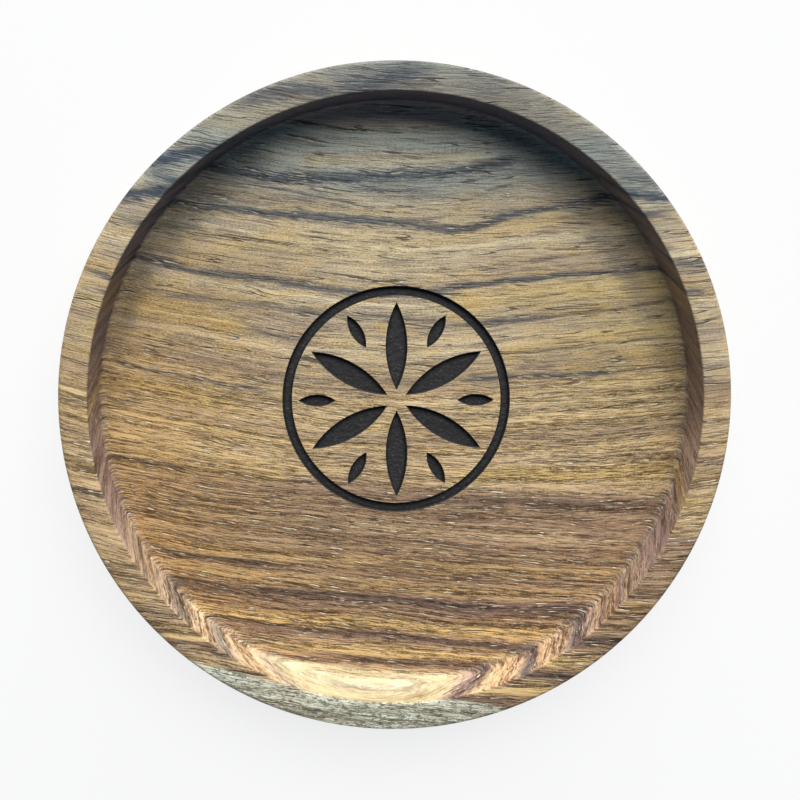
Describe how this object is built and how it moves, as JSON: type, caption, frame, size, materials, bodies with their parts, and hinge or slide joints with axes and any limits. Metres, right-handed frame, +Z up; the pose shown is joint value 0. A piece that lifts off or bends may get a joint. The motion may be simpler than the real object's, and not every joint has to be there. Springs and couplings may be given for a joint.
{
  "type": "wooden coaster",
  "caption": "Round coaster turned from one piece of teak, with a straight-walled recess for a glass, a carved rosette, eased edges and rubber pads set into the underside.",
  "frame": {"origin": "on the table, under the centre of the coaster: the plane on which the pads rest", "axes": "+Z up along the coaster's axis, +X along the wood's grain, -Y the front"},
  "size_m": [0.1, 0.1, 0.016],
  "materials": {
    "teak": "oiled teak, satin",
    "pad_rubber": "matt"
  },
  "bodies": {
    "root": {"body": "teak", "pad_front_left": "pad_rubber", "pad_front_right": "pad_rubber", "pad_back_left": "pad_rubber", "pad_back_right": "pad_rubber"}
  },
  "joints": []
}
